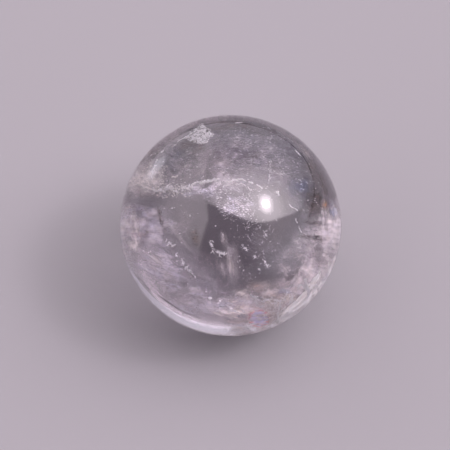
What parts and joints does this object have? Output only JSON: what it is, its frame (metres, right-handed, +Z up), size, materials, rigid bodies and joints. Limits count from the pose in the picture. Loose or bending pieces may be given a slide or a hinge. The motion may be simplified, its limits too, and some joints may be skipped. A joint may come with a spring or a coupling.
{
  "type": "quartz sphere",
  "caption": "Polished ball of clear quartz with cloudy veils and rainbow cracks inside, resting on a small ground flat spot.",
  "frame": {"origin": "middle of the flat spot that the sphere rests on", "axes": "+Z up, through the flat spot's middle and the sphere's centre; a viewer at the picture's side stands at -Y, with +X to the right"},
  "size_m": [0.04, 0.04, 0.0394],
  "materials": {
    "polished_quartz": "mirror-polished clear quartz, faint grey lilac cast"
  },
  "bodies": {
    "root": {"quartz_sphere": "polished_quartz"}
  },
  "joints": []
}
